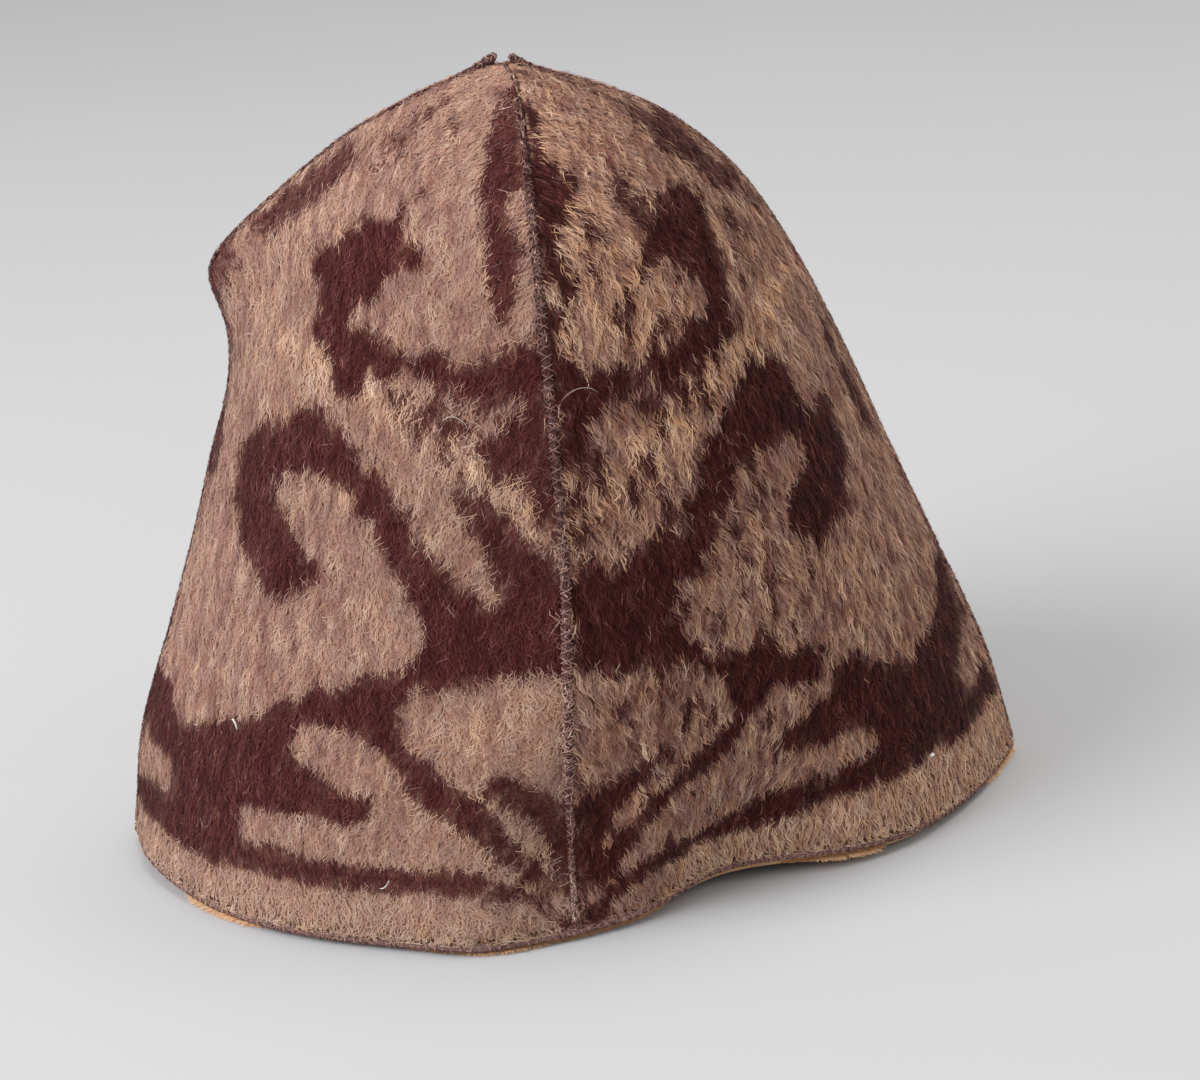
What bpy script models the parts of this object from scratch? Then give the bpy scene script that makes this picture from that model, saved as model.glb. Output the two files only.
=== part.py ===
"""Sauna hat: a bell of four blanket wool gores, with raised overlocked seams and a faced hem.

Metres, +Z up. The hat stands on its rim at Z = 0, the front seam faces -Y and +X is its right
side as seen from the front. The origin is the middle of the hat's footprint.
"""
import math
from collections import namedtuple

import bmesh
import bpy
import numpy as np

MM = 0.001
COLLECTION_NAME = "sauna_hat"

# Driving sizes, in millimetres: the peak's height and its place off the footprint's middle
HAT_HEIGHT = 232.0
PEAK_X = 2.75
PEAK_Y = -3.6
WALL = 3.0

# Seam ridges: how deep their middle lies, and how far from it the gores stop
SEAM_RADIUS = 1.7
SEAM_SINK = 0.4
SEAM_TRIM = 2.2

# The side seams end in two small tips at the peak, which fade out over this share of their length
TIP_RISE = 2.0
TIP_LENGTH = 0.04

# Heights above the hem: the middle of the overlock roll, and the lower edge of the gores
HEM_ROLL_RADIUS = 1.5
HEM_ROLL_RISE = 2.5
GORE_RISE = 5.1

# The facing: it reaches below the hem, and the ground flattens it there
FACING_WALL = 1.5
FACING_GAP = 0.8
FACING_HEIGHT = 15.0
FACING_DROP = 1.0

# Fineness of the meshes; the gores start a little below the peak, as a share of the way down
GORE_COLUMNS = 15
GORE_ROWS = 28
PEAK_START = 0.055
RING_POINTS = 4 * GORE_COLUMNS
FACING_ROWS = 2

# The hat's outline. Each row is a level section, given by how far it lies below the peak, how far
# the left, right, front and back seams reach from the peak's axis, how far the front seam strays
# to the right, and how far the gores bow out between their seams.
Section = namedtuple("Section", "drop left right front front_x back bow_left bow_right bow_back")
SECTIONS = (
    Section(0.0, 3.0, 1.0, 2.0, 0.0, 2.0, 0.3, 0.3, 0.3),
    Section(3.0, 13.0, 8.0, 10.0, 2.5, 10.0, 2.0, 2.0, 2.0),
    Section(9.0, 30.5, 24.0, 27.0, 3.5, 27.0, 6.0, 6.0, 6.0),
    Section(20.0, 53.0, 45.0, 47.0, 3.7, 47.0, 11.0, 11.0, 11.0),
    Section(38.0, 75.0, 63.5, 65.0, 3.7, 65.0, 15.5, 15.5, 15.5),
    Section(62.0, 86.0, 77.5, 78.0, 3.6, 78.0, 19.5, 19.5, 19.5),
    Section(92.0, 95.0, 90.0, 88.0, 3.3, 88.0, 23.0, 23.0, 23.0),
    Section(126.0, 105.5, 102.0, 95.0, 2.5, 96.0, 26.0, 26.0, 27.0),
    Section(160.0, 118.5, 114.5, 101.0, -0.5, 104.0, 28.0, 28.0, 31.0),
    Section(195.0, 133.0, 127.0, 106.0, -3.5, 110.0, 30.0, 28.0, 35.0),
    Section(232.0, 145.0, 135.0, 108.0, -5.5, 114.0, 30.0, 27.0, 38.0),
)

# Dents and bulges of the cloth: where each lies round the hat, in degrees from the front seam
# towards the right side, and below the peak; half its width and height; how far it stands out.
Dent = namedtuple("Dent", "angle drop half_angle half_drop depth")
DENTS = (
    Dent(-90.0, 52.0, 7.0, 14.0, 10.0),
    Dent(-90.0, 90.0, 12.0, 16.0, -2.0),
    Dent(-90.0, 230.0, 8.0, 24.0, -4.0),
    Dent(0.0, 206.0, 8.0, 20.0, -9.0),
    Dent(-12.0, 220.0, 9.0, 26.0, 4.0),
    Dent(13.0, 204.0, 7.0, 20.0, 3.0),
    Dent(25.0, 228.0, 17.0, 40.0, -19.0),
)

# Stretches of the hem that stand clear of what the hat rests on.
Lift = namedtuple("Lift", "angle half_angle rise")
LIFTS = (
    Lift(-82.0, 16.0, 3.0),
    Lift(34.0, 22.0, 4.0),
)

FRONT, RIGHT, BACK, LEFT = 0.0, 90.0, 180.0, -90.0
GORES = (
    ("gore_front_left", LEFT),
    ("gore_front_right", FRONT),
    ("gore_back_right", RIGHT),
    ("gore_back_left", -BACK),
)

# The side seams start clear of the long seam: their names, angles and first levels
SIDE_SEAMS = (
    ("seam_left", LEFT, 0.012),
    ("seam_right", RIGHT, 0.045),
)

# Colours as a renderer reads them: linear red, green and blue
Finish = namedtuple("Finish", "colour roughness metallic")
FINISHES = {
    "blanket_left": Finish((0.190, 0.105, 0.088), 0.95, 0.0),
    "blanket_right": Finish((0.170, 0.095, 0.075), 0.95, 0.0),
    "overlock_thread": Finish((0.115, 0.075, 0.080), 0.80, 0.0),
    "hem_thread": Finish((0.130, 0.080, 0.080), 0.80, 0.0),
    "facing_cloth": Finish((0.760, 0.430, 0.230), 0.90, 0.0),
}


def clear_scene():
    """Removes what the open file shows, so the hat is alone in it."""
    for thing in list(bpy.data.objects):
        bpy.data.objects.remove(thing, do_unlink=True)


def new_collection(name):
    group = bpy.data.collections.new(name)
    bpy.context.scene.collection.children.link(group)
    return group


def new_material(name):
    finish = FINISHES[name]
    material = bpy.data.materials.new(name)
    material.use_nodes = True
    shader = material.node_tree.nodes["Principled BSDF"]
    shader.inputs["Base Color"].default_value = (*finish.colour, 1.0)
    shader.inputs["Roughness"].default_value = finish.roughness
    shader.inputs["Metallic"].default_value = finish.metallic
    material.diffuse_color = (*finish.colour, 1.0)
    return material


def column(name, level):
    """One column of SECTIONS at a level from 0 at the peak to 1 at the hem, as a smooth curve."""
    values = np.array([getattr(section, name) for section in SECTIONS])
    last = len(values) - 1
    place = np.clip(level, 0.0, 1.0) * last
    low = np.minimum(place.astype(int), last - 1)
    slopes = np.gradient(values)
    step = place - low
    rise = values[low + 1] - values[low]
    start = step * (1.0 - step) ** 2 * slopes[low]
    end = step ** 2 * (step - 1.0) * slopes[low + 1]
    return values[low] + (3.0 - 2.0 * step) * step ** 2 * rise + start + end


def away(angle, centre):
    """How far an angle lies from another one, in degrees, the short way round."""
    return (angle - centre + 180.0) % 360.0 - 180.0


def hem_lift(angle):
    """How far the hem stands above the ground at an angle."""
    rise = np.zeros_like(angle)
    for lift in LIFTS:
        rise = rise + lift.rise * np.exp(-(away(angle, lift.angle) / lift.half_angle) ** 2)
    return rise


def outer_surface(angle, level):
    """Points of the hat's outside, in millimetres, for arrays of angles and levels."""
    angle, level = np.broadcast_arrays(np.asarray(angle, float), np.asarray(level, float))
    row = {name: column(name, level) for name in Section._fields}
    quarter = np.clip(np.floor((angle + 180.0) / 90.0), 0, 3)
    across = (angle + 180.0) / 90.0 - quarter
    level_ground = np.zeros_like(across)
    middle = (row["right"] - row["left"]) / 2.0
    which = [quarter == number for number in range(4)]
    start_x = np.select(which, [middle, -row["left"], row["front_x"], row["right"]])
    start_y = np.select(which, [row["back"], level_ground, -row["front"], level_ground])
    end_x = np.select(which, [-row["left"], row["front_x"], row["right"], middle])
    end_y = np.select(which, [level_ground, -row["front"], level_ground, row["back"]])
    bow = np.select(which, [row["bow_back"], row["bow_left"], row["bow_right"], row["bow_back"]])
    chord_x, chord_y = end_x - start_x, end_y - start_y
    chord = np.hypot(chord_x, chord_y)
    crown = 4.0 * across * (1.0 - across) * bow
    x = start_x + chord_x * across + chord_y / chord * crown
    y = start_y + chord_y * across - chord_x / chord * crown
    reach = np.hypot(x - middle, y)
    push = np.zeros_like(reach)
    for dent in DENTS:
        wide = away(angle, dent.angle) / dent.half_angle
        high = (row["drop"] - dent.drop) / dent.half_drop
        push = push + dent.depth * np.exp(-wide ** 2 - high ** 2)
    x = x + (x - middle) / reach * push
    y = y + y / reach * push
    z = HAT_HEIGHT - row["drop"] * (1.0 - hem_lift(angle) / HAT_HEIGHT)
    return np.stack([x + PEAK_X, y + PEAK_Y, z], axis=-1)


def unit(vectors):
    return vectors / np.linalg.norm(vectors, axis=-1, keepdims=True)


def outward(angle, level):
    """Unit normals of the outside, from small steps round and down the hat."""
    turn, slip, least = 0.6, 0.004, 0.03
    level = np.clip(level, least, 1.0 - slip)
    around = outer_surface(angle + turn, level) - outer_surface(angle - turn, level)
    down = outer_surface(angle, level + slip) - outer_surface(angle, level - slip)
    return unit(np.cross(down, around))


def level_at_rise(rise):
    """The level that lies a given height above the hem."""
    levels = np.linspace(0.0, 1.0, 2001)
    return np.interp(HAT_HEIGHT - np.asarray(rise, float), column("drop", levels), levels)


def inside_hem(angle, rise, depth):
    """Points at a height above the hem and a depth inside the outer surface, measured square to it."""
    angle, rise = np.broadcast_arrays(np.asarray(angle, float), np.asarray(rise, float))
    level = level_at_rise(np.maximum(rise, 0.0))
    points = outer_surface(angle, level)
    normal = outward(angle, level)
    flat = normal[..., :2]
    points[..., :2] -= depth * flat / np.sum(flat ** 2, axis=-1, keepdims=True)
    points[..., 2] = hem_lift(angle) + rise
    return points


def grid_mesh(name, columns, rows, shape):
    """A grid whose vertices are placed by shape(across, down), both from 0 to 1, facing outwards."""
    form = bmesh.new()
    bmesh.ops.create_grid(form, x_segments=columns, y_segments=rows, size=1.0)
    form.verts.ensure_lookup_table()
    flat = np.array([vertex.co for vertex in form.verts])
    points = shape((flat[:, 0] + 1.0) / 2.0, (1.0 - flat[:, 1]) / 2.0) * MM
    for vertex, point in zip(form.verts, points):
        vertex.co = point
    bmesh.ops.remove_doubles(form, verts=form.verts, dist=0.01 * MM)
    mesh = bpy.data.meshes.new(name)
    form.to_mesh(mesh)
    form.free()
    mesh.shade_smooth()
    mesh.set_sharp_from_angle(angle=math.radians(50.0))
    return mesh


def new_object(name, data, group, parent):
    piece = bpy.data.objects.new(name, data)
    group.objects.link(piece)
    piece.parent = parent
    return piece


def thicken(piece, wall):
    """Gives an open surface its wall, inwards from the outside."""
    shell = piece.modifiers.new("wall", "SOLIDIFY")
    shell.thickness = wall * MM
    shell.offset = -1.0


def seam_trim(seam_angle, level, side):
    """How many degrees a gore stops short of a seam line, to leave room for its ridge."""
    step = 0.5
    seam = outer_surface(seam_angle, level)
    beside = outer_surface(seam_angle + side * step, level)
    return SEAM_TRIM * step / np.linalg.norm(beside - seam, axis=-1)


def make_gore(name, first_angle, material, group, parent):
    """One wedge of blanket between two seams, from near the peak to the hem roll."""
    levels = row_levels()

    def shape(across, down):
        level = levels[0] + (levels[-1] - levels[0]) * down
        start = first_angle + seam_trim(first_angle, level, 1.0)
        end = first_angle + 90.0 - seam_trim(first_angle + 90.0, level, -1.0)
        return outer_surface(start + (end - start) * across, level)

    gore = new_object(name, grid_mesh(name, GORE_COLUMNS, GORE_ROWS, shape), group, parent)
    gore.data.materials.append(material)
    thicken(gore, WALL)
    return gore


def make_tube(name, points, radius, closed, material, group, parent):
    """A round thread ridge along a row of points."""
    curve = bpy.data.curves.new(name, "CURVE")
    curve.dimensions = "3D"
    curve.bevel_depth = radius * MM
    curve.bevel_resolution = 2
    curve.use_fill_caps = not closed
    curve.materials.append(material)
    spline = curve.splines.new("POLY")
    spline.points.add(len(points) - 1)
    for target, point in zip(spline.points, points * MM):
        target.co = (*point, 1.0)
    spline.use_cyclic_u = closed
    spline.use_smooth = True
    return new_object(name, curve, group, parent)


def row_levels():
    """The levels of a gore's rows, from near the peak to the hem roll."""
    return np.linspace(PEAK_START, float(level_at_rise(GORE_RISE)), GORE_ROWS + 1)


def seam_line(angle, first_level):
    """The middle of a seam ridge, down from near the peak, with a point at each row of the gores."""
    levels = np.concatenate([[first_level], row_levels()])
    angles = np.full_like(levels, angle)
    line = outer_surface(angles, levels) - SEAM_SINK * outward(angles, levels)
    return line, levels


def make_seams(material, group, parent):
    """The long seam over the peak and the two side seams that end on either side of it."""
    front, levels = seam_line(FRONT, 0.0)
    back, levels = seam_line(BACK, 0.0)
    long_line = np.concatenate([front[::-1], back])
    make_tube("seam_front_to_back", long_line, SEAM_RADIUS, False, material, group, parent)
    for name, angle, first_level in SIDE_SEAMS:
        line, levels = seam_line(angle, first_level)
        line[:, 2] += TIP_RISE * np.exp(-((levels - first_level) / TIP_LENGTH) ** 2)
        make_tube(name, line, SEAM_RADIUS, False, material, group, parent)


def make_hem_roll(material, group, parent):
    """The overlock thread that is rolled over the cut edge all round."""
    angles = np.linspace(-180.0, 180.0, RING_POINTS, endpoint=False)
    line = inside_hem(angles, HEM_ROLL_RISE, WALL / 2.0)
    make_tube("hem_overlock", line, HEM_ROLL_RADIUS, True, material, group, parent)


def make_floor_cutter(group):
    """A slab whose top is the ground: it flattens what would reach below it."""
    size = 500.0 * MM
    form = bmesh.new()
    bmesh.ops.create_cube(form, size=size)
    bmesh.ops.translate(form, verts=form.verts, vec=(0.0, 0.0, -size / 2.0))
    mesh = bpy.data.meshes.new("floor_cutter")
    form.to_mesh(mesh)
    form.free()
    cutter = new_object("floor_cutter", mesh, group, None)
    cutter.hide_render = True
    cutter.display_type = "WIRE"
    return cutter


def make_facing(cutter, material, group, parent):
    """The strip of cloth inside the hem, whose edge the hat stands on."""
    rise = FACING_HEIGHT + FACING_DROP

    def shape(across, down):
        return inside_hem(360.0 * across - 180.0, FACING_HEIGHT - rise * down, WALL + FACING_GAP)

    facing = new_object("hem_facing", grid_mesh("hem_facing", RING_POINTS, FACING_ROWS, shape), group, parent)
    facing.data.materials.append(material)
    thicken(facing, FACING_WALL)
    rest = facing.modifiers.new("flat on the ground", "BOOLEAN")
    rest.operation = "DIFFERENCE"
    rest.solver = "EXACT"
    rest.object = cutter
    return facing


def main():
    clear_scene()
    hat = new_collection(COLLECTION_NAME)
    cutters = new_collection("cutters")
    frame = new_object("hat_frame", None, hat, None)
    materials = {name: new_material(name) for name in FINISHES}
    for name, first_angle in GORES:
        side = "blanket_left" if name.endswith("left") else "blanket_right"
        make_gore(name, first_angle, materials[side], hat, frame)
    make_seams(materials["overlock_thread"], hat, frame)
    make_hem_roll(materials["hem_thread"], hat, frame)
    make_facing(make_floor_cutter(cutters), materials["facing_cloth"], hat, frame)


main()
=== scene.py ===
import math
from collections import namedtuple

import bmesh
import bpy
import numpy as np
from mathutils import Matrix, Vector


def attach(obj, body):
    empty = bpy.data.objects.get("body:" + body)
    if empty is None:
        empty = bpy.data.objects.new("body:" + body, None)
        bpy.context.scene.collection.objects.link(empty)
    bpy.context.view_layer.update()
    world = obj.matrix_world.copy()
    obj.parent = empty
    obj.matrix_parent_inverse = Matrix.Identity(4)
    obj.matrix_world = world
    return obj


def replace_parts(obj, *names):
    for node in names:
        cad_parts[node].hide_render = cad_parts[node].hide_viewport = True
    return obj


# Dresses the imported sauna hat: four gores of brushed two-tone blanket wool, overlocked seams and hem,
# and a flannel facing. Sizes are in millimetres until a mesh is made.

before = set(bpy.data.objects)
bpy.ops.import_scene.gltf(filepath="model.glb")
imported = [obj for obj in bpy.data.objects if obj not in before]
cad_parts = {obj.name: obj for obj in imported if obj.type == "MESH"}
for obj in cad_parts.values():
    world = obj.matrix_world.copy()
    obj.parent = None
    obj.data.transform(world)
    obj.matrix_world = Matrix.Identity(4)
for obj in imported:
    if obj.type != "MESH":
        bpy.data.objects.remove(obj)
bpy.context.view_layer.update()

MM = 0.001

# The hat's own sizes, as its solids have them
HAT_HEIGHT = 232.0
PEAK_X = 2.75
PEAK_Y = -3.6
WALL = 3.0
SEAM_SINK = 0.4
HEM_BAND = 250.0
SEAM_TRIM = 1.1
TIP_RISE = 2.0
TIP_REACH = 1.6
TIP_LENGTH = 0.05
PEAK_SINK = 2.0
HEM_ROLL_RISE = 2.5
GORE_RISE = 5.1
FACING_WALL = 1.5
FACING_GAP = 0.8
FACING_HEIGHT = 15.0
FACING_DROP = 1.0
FLOOR_GAP = 0.1

# Level sections of the outline: how far each lies below the peak, how far the seams reach from the
# peak's axis, how far the front seam strays to the right, and how far the gores bow out
Section = namedtuple("Section", "drop left right front front_x back bow_left bow_right bow_back")
SECTIONS = (
    Section(0.0, 3.0, 1.0, 2.0, 0.0, 2.0, 0.3, 0.3, 0.3),
    Section(3.0, 13.0, 8.0, 10.0, 2.5, 10.0, 2.0, 2.0, 2.0),
    Section(9.0, 30.5, 24.0, 27.0, 3.5, 27.0, 6.0, 6.0, 6.0),
    Section(20.0, 53.0, 45.0, 47.0, 3.7, 47.0, 11.0, 11.0, 11.0),
    Section(38.0, 75.0, 63.5, 65.0, 3.7, 65.0, 15.5, 15.5, 15.5),
    Section(62.0, 86.0, 77.5, 78.0, 3.6, 78.0, 19.5, 19.5, 19.5),
    Section(92.0, 95.0, 90.0, 88.0, 3.3, 88.0, 23.0, 23.0, 23.0),
    Section(126.0, 105.5, 102.0, 95.0, 2.5, 96.0, 26.0, 26.0, 27.0),
    Section(160.0, 118.5, 114.5, 101.0, -0.5, 104.0, 28.0, 28.0, 31.0),
    Section(195.0, 133.0, 127.0, 106.0, -3.5, 110.0, 30.0, 28.0, 35.0),
    Section(232.0, 145.0, 135.0, 108.0, -5.5, 114.0, 30.0, 27.0, 38.0),
)

# Dents and bulges of the cloth, and stretches of the hem that stand clear of the ground
Dent = namedtuple("Dent", "angle drop half_angle half_drop depth")
DENTS = (
    Dent(-90.0, 52.0, 7.0, 14.0, 10.0),
    Dent(-90.0, 90.0, 12.0, 16.0, -2.0),
    Dent(-90.0, 230.0, 8.0, 24.0, -4.0),
    Dent(0.0, 206.0, 8.0, 20.0, -9.0),
    Dent(-12.0, 220.0, 9.0, 26.0, 4.0),
    Dent(13.0, 204.0, 7.0, 20.0, 3.0),
    Dent(25.0, 228.0, 17.0, 40.0, -19.0),
)
Lift = namedtuple("Lift", "angle half_angle rise")
LIFTS = (
    Lift(-82.0, 16.0, 3.0),
    Lift(34.0, 22.0, 4.0),
)

FRONT, RIGHT, BACK, LEFT = 0.0, 90.0, 180.0, -90.0

# The two-tone pattern, charted on a gore laid out flat: millimetres from the middle seam, and
# down from the peak. Ink is how dark a patch is.
Patch = namedtuple("Patch", "ink outline")
LEFT_PATCHES = (
    Patch(0.95, ((0, 14), (4, 14), (6, 20), (6, 25), (8, 31), (9, 38), (12, 48), (13, 60), (14, 72),
        (15, 86), (13, 98), (9, 100), (7, 88), (4, 78), (5, 64), (2, 52), (0, 46))),
    Patch(0.8, ((65, 44), (72, 46), (79, 53), (86, 58), (94, 64), (102, 69), (108, 74), (106, 78), (99, 77),
        (90, 73), (82, 70), (75, 65), (68, 58), (62, 48))),
    Patch(1.0, ((32, 58), (40, 64), (47, 67), (53, 67), (59, 73), (69, 77), (78, 79), (80, 84), (74, 88),
        (74, 95), (78, 100), (73, 104), (69, 110), (67, 117), (58, 118), (53, 110), (45, 111), (38, 110),
        (29, 114), (14, 117), (0, 120), (0, 97), (5, 104), (10, 103), (17, 106), (24, 108), (29, 104),
        (39, 107), (44, 103), (51, 100), (60, 97), (58, 92), (50, 90), (48, 86), (42, 83), (34, 80),
        (33, 76), (39, 72), (37, 67))),
    Patch(0.95, ((0, 114), (8, 114), (9, 120), (12, 125), (18, 128), (21, 132), (18, 138), (12, 139),
        (9, 143), (7, 149), (5, 154), (2, 158), (0, 160))),
    Patch(0.9, ((28, 142), (26, 150), (22, 157), (19, 165), (17, 173), (8, 170), (5, 163), (9, 157),
        (15, 150), (21, 143))),
    Patch(1.0, ((79, 121), (89, 127), (99, 130), (107, 134), (114, 139), (120, 144), (121, 150), (122, 157),
        (118, 162), (115, 167), (109, 172), (102, 177), (92, 179), (85, 175), (77, 173), (73, 168),
        (79, 165), (83, 162), (88, 160), (89, 155), (95, 151), (95, 146), (87, 142), (79, 140), (69, 141),
        (62, 145), (60, 150), (54, 155), (50, 162), (45, 170), (39, 176), (38, 185), (40, 190), (49, 196),
        (37, 200), (27, 199), (14, 197), (5, 195), (0, 197), (0, 160), (4, 162), (9, 166), (14, 172),
        (19, 175), (24, 172), (29, 167), (34, 162), (40, 158), (42, 150), (47, 147), (49, 142), (54, 137),
        (59, 132), (66, 126), (72, 121))),
    Patch(1.0, ((49, 194), (59, 197), (64, 200), (74, 201), (82, 205), (89, 207), (94, 211), (102, 215),
        (114, 219), (89, 222), (84, 216), (78, 212), (70, 212), (62, 214), (57, 216), (49, 220), (45, 213),
        (47, 205), (40, 198))),
    Patch(1.0, ((57, 214), (47, 224), (44, 230), (36, 236), (28, 241), (22, 246), (17, 252), (10, 260),
        (5, 265), (4, 262), (9, 255), (13, 248), (17, 240), (20, 236), (26, 229), (33, 224), (41, 219),
        (48, 212))),
    Patch(1.0, ((100, 214), (112, 217), (127, 221), (139, 227), (147, 228), (152, 225), (154, 221),
        (180, 219), (182, 238), (168, 241), (159, 240), (149, 241), (150, 247), (152, 250), (164, 251),
        (177, 255), (187, 256), (188, 264), (174, 264), (159, 262), (139, 262), (119, 261), (102, 260),
        (77, 260), (52, 260), (40, 259), (24, 260), (15, 262), (8, 268), (3, 273), (0, 276), (0, 272),
        (4, 268), (10, 262), (18, 256), (27, 252), (54, 252), (72, 252), (89, 250), (107, 251), (108, 246),
        (107, 241), (89, 240), (77, 239), (64, 240), (56, 238), (56, 232), (64, 231), (72, 227), (79, 225),
        (89, 219))),
    Patch(1.0, ((22, 226), (16, 225), (10, 228), (7, 231), (5, 234), (2, 236), (0, 237), (0, 268), (3, 264),
        (5, 257), (7, 250), (10, 242), (15, 236), (21, 231), (24, 228))),
    Patch(0.6, ((120, 78), (126, 84), (131, 94), (131, 102), (127, 104), (124, 98), (119, 90), (115, 84))),
    Patch(0.4, ((126, 108), (134, 106), (138, 112), (134, 120), (127, 122), (124, 114))),
    Patch(0.7, ((139, 136), (148, 138), (153, 150), (151, 158), (143, 158), (138, 152), (136, 143))),
)
RIGHT_PATCHES = (
    Patch(1.0, ((0, 20), (3, 23), (4, 30), (5, 42), (7, 52), (12, 60), (12, 66), (6, 72), (5, 80), (7, 88),
        (6, 96), (4, 104), (4, 114), (0, 114))),
    Patch(0.8, ((38, 37), (50, 44), (59, 46), (66, 50), (68, 56), (77, 63), (87, 71), (96, 78), (101, 86),
        (94, 85), (87, 81), (80, 77), (70, 75), (64, 69), (57, 65), (53, 58), (46, 52), (40, 46))),
    Patch(0.7, ((21, 57), (26, 60), (31, 66), (37, 72), (40, 78), (34, 80), (28, 72), (24, 66))),
    Patch(1.0, ((40, 68), (49, 68), (56, 72), (59, 80), (61, 86), (62, 92), (61, 102), (60, 110), (52, 114),
        (42, 117), (36, 121), (27, 119), (19, 120), (16, 125), (10, 127), (5, 132), (0, 136), (0, 111),
        (7, 110), (15, 114), (22, 115), (29, 111), (37, 110), (42, 107), (49, 105), (49, 99), (45, 95),
        (38, 91), (32, 87), (31, 82), (35, 77), (36, 71))),
    Patch(1.0, ((60, 124), (72, 122), (80, 124), (82, 132), (85, 138), (95, 140), (101, 142), (104, 149),
        (104, 156), (101, 162), (100, 170), (94, 172), (87, 175), (81, 179), (75, 176), (70, 172), (66, 168),
        (72, 162), (77, 159), (79, 152), (77, 147), (70, 147), (60, 149), (52, 152), (48, 158), (44, 163),
        (39, 167), (37, 172), (32, 177), (31, 185), (32, 192), (36, 198), (27, 199), (15, 199), (7, 195),
        (0, 192), (0, 166), (6, 168), (12, 172), (15, 166), (22, 162), (32, 160), (37, 155), (41, 147),
        (44, 140), (49, 132), (54, 128))),
    Patch(0.9, ((114, 120), (119, 127), (122, 134), (127, 140), (132, 149), (137, 156), (139, 161),
        (132, 160), (126, 156), (120, 150), (117, 140), (115, 132))),
    Patch(1.0, ((28, 198), (45, 199), (57, 198), (67, 204), (79, 206), (81, 212), (73, 216), (62, 213),
        (59, 218), (52, 221), (47, 218), (46, 211), (42, 206), (36, 202))),
    Patch(1.0, ((82, 213), (95, 212), (105, 217), (120, 220), (135, 217), (145, 212), (155, 205), (162, 200),
        (165, 208), (167, 217), (168, 224), (160, 226), (152, 229), (150, 235), (153, 240), (162, 242),
        (170, 238), (174, 243), (177, 250), (162, 251), (150, 252), (125, 250), (107, 252), (95, 252),
        (85, 254), (72, 258), (60, 260), (40, 259), (25, 259), (15, 262), (8, 268), (0, 271), (0, 266),
        (10, 260), (19, 254), (28, 252), (42, 254), (57, 251), (70, 247), (82, 245), (95, 243), (100, 239),
        (98, 235), (90, 234), (80, 236), (66, 235), (62, 231), (72, 225), (84, 220))),
    Patch(1.0, ((50, 219), (44, 221), (38, 225), (30, 230), (22, 236), (15, 242), (10, 248), (6, 255),
        (3, 262), (6, 262), (11, 256), (16, 250), (21, 244), (26, 240), (32, 236), (44, 232), (50, 226),
        (54, 221))),
    Patch(1.0, ((26, 220), (18, 224), (10, 229), (5, 233), (0, 236), (0, 270), (3, 266), (6, 259), (9, 252),
        (11, 246), (13, 239), (16, 234), (21, 229), (26, 225), (28, 221))),
)

# Paler stretches of the light wool with painted highlight, charted the same way; they also lift the shaded
# dent by the front seam and the hem band with painted light
LEFT_PALE_AND_LIT = (
    Patch(1.0, ((112, 100), (95, 108), (78, 114), (60, 119), (45, 126), (30, 136), (16, 148), (4, 160),
        (0, 152), (8, 144), (22, 130), (38, 118), (58, 111), (80, 104), (100, 97))),
    Patch(0.6, ((0, 202), (20, 202), (40, 208), (30, 222), (12, 218), (0, 220))),
    Patch(0.6, ((0, 262), (190, 266), (190, 280), (0, 280))),
    Patch(0.9, ((28, 226), (20, 230), (14, 236), (9, 243), (6, 252), (3, 262), (10, 262), (18, 252),
        (28, 240), (36, 232))),
)
RIGHT_PALE_AND_LIT = (
    Patch(1.0, ((98, 104), (84, 112), (66, 121), (50, 129), (34, 138), (16, 150), (2, 160), (0, 148),
        (14, 138), (30, 128), (48, 120), (66, 113), (84, 104))),
    Patch(0.8, ((6, 62), (14, 64), (24, 78), (36, 94), (46, 100), (40, 106), (24, 112), (10, 106), (8, 84))),
    Patch(1.0, ((30, 260), (70, 258), (110, 252), (190, 250), (190, 280), (30, 280))),
)

# Stretches of light wool that dark locks lie among; here ink is the share of dark locks
LEFT_FLECKS = (
    Patch(0.4, ((50, 114), (30, 112), (8, 112), (12, 124), (21, 128), (24, 142), (36, 134))),
    Patch(0.25, ((20, 12), (40, 26), (60, 40), (50, 56), (30, 50), (16, 36))),
)
RIGHT_FLECKS = (
    Patch(0.6, ((0, 130), (9, 128), (14, 138), (12, 150), (9, 160), (8, 168), (0, 168))),
    Patch(0.38, ((14, 118), (46, 112), (58, 120), (46, 132), (34, 162), (14, 168), (12, 160), (17, 140))),
    Patch(0.5, ((12, 68), (26, 68), (24, 78), (14, 78))),
    Patch(0.15, ((6, 80), (28, 80), (34, 94), (46, 102), (20, 114), (6, 110))),
    Patch(0.22, ((36, 168), (60, 150), (76, 150), (70, 168), (84, 182), (70, 200), (40, 198))),
    Patch(0.2, ((4, 200), (40, 202), (46, 216), (30, 228), (10, 240), (2, 236))),
    Patch(0.12, ((54, 222), (80, 214), (70, 232), (60, 250), (14, 262), (30, 240))),
    Patch(0.15, ((14, 14), (50, 50), (64, 70), (64, 110), (100, 100), (70, 60), (30, 18))),
)

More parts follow.
